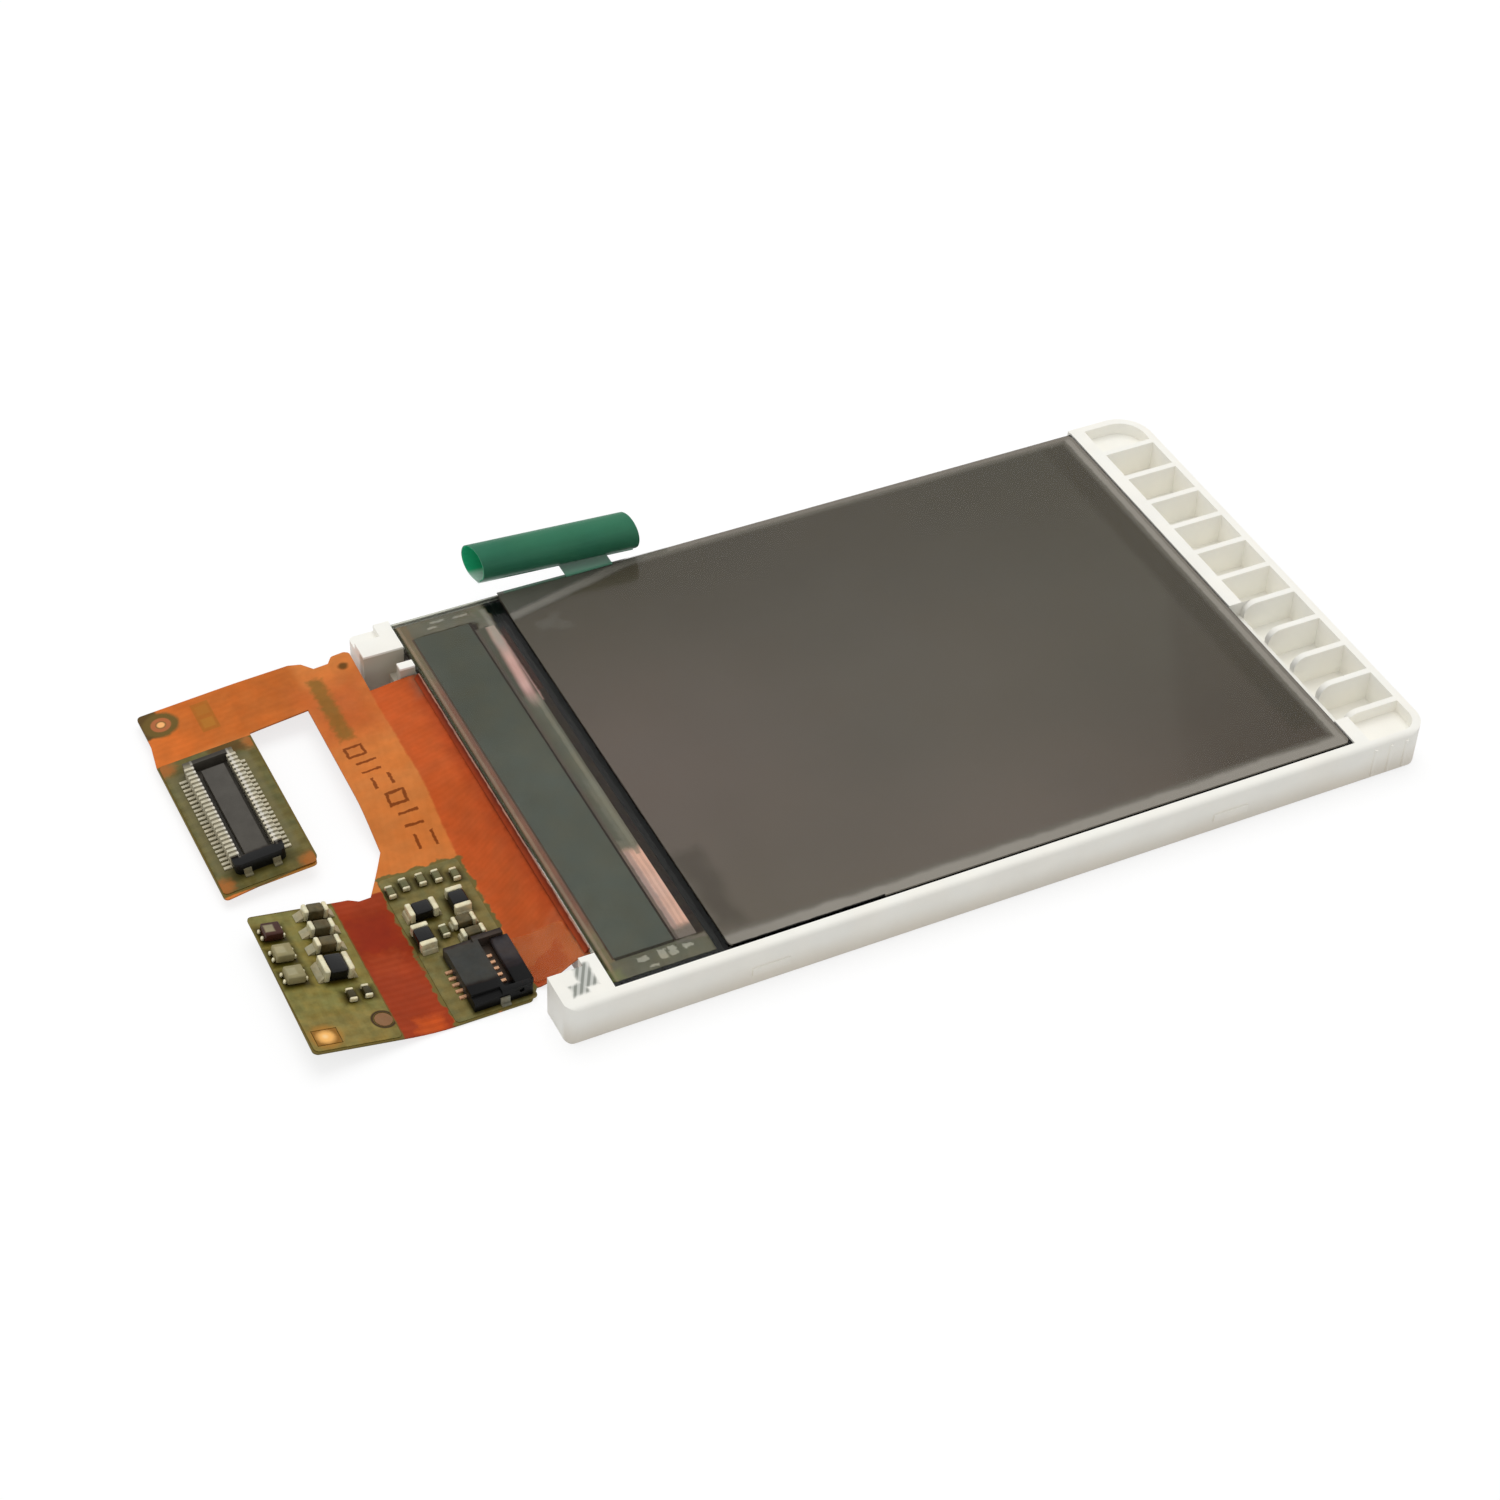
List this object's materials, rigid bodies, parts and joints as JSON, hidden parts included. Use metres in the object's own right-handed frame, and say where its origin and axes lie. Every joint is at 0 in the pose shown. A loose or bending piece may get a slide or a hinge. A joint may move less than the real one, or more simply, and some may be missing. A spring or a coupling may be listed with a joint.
{
  "type": "tft display module",
  "caption": "Small colour display panel on a backlight in a white moulded frame with a pocketed end, with an orange flex circuit carrying connectors and chip parts.",
  "frame": {"origin": "centre of the frame's flat rear face", "axes": "+X from the flex end to the pocket end, +Z out of the display face, +Y across the panel"},
  "size_m": [0.0754, 0.0402, 0.0058],
  "materials": {
    "frame_white": "moulded, satin",
    "reflector_silver": "silvered sheet",
    "guide_clear": "clear moulded sheet",
    "diffuser_white": "frosted sheet",
    "prism_clear": "fine ribbed sheet",
    "polyimide_orange": "copper traces under an amber film",
    "led_resin": "cast resin",
    "rim_black": "printed tape",
    "polariser_grey": "smoke grey, glossy",
    "panel_glass": "polished glass",
    "clear_film": "clear film",
    "tab_green": "green tape",
    "chip_mirror": "polished die",
    "cover_grey": "dark tape",
    "resin_brown": "cured resin",
    "coverlay_olive": "solder mask over copper",
    "stiffener_amber": "laminated film",
    "pad_gold": "gold plated",
    "pad_copper": "bare copper",
    "housing_dark": "moulded, satin",
    "contact_metal": "plated contacts",
    "socket_grey": "moulded, satin",
    "contact_copper": "plated contacts",
    "latch_dark": "moulded, satin",
    "capacitor_tan": "fired ceramic",
    "solder_tin": "tinned",
    "inductor_black": "ferrite",
    "array_grey": "fired ceramic",
    "resistor_dark": "glazed ceramic"
  },
  "bodies": {
    "module": {"frame": "frame_white", "reflector_sheet": "reflector_silver", "light_guide": "guide_clear", "diffuser_sheet": "diffuser_white", "lower_prism_sheet": "prism_clear", "upper_prism_sheet": "prism_clear", "led_flex": "polyimide_orange", "leds": "led_resin", "rim_tape": "rim_black", "rear_polariser": "polariser_grey", "filter_glass": "panel_glass", "tft_glass": "panel_glass", "front_polariser": "polariser_grey", "protective_film": "clear_film", "pull_tab": "tab_green", "driver_chip": "chip_mirror", "ledge_cover": "cover_grey", "bond_resin": "resin_brown", "flex_circuit": "polyimide_orange", "left_coverlay": "coverlay_olive", "right_coverlay": "coverlay_olive", "connector_coverlay": "coverlay_olive", "connector_stiffener": "stiffener_amber", "gold_pad": "pad_gold", "test_pad": "pad_copper", "root_tape": "clear_film", "connector_housing": "housing_dark", "connector_contacts": "contact_metal", "connector_tabs": "contact_metal", "socket_housing": "socket_grey", "socket_contacts": "contact_copper", "socket_tabs": "contact_metal", "capacitor_bodies": "capacitor_tan", "capacitor_ends": "solder_tin", "inductor_bodies": "inductor_black", "inductor_ends": "solder_tin", "filter_arrays": "array_grey", "array_pins": "solder_tin", "resistor_bodies": "resistor_dark", "resistor_ends": "solder_tin", "solder_fillets": "solder_tin"},
    "latch": {"socket_latch": "latch_dark"}
  },
  "joints": [
    {"name": "latch_flip", "type": "hinge", "parent": "module", "child": "latch", "pos_m": [-0.03145, -0.0114, 0.00085], "axis": [0, -1, 0], "range_deg": [0, 90]}
  ]
}
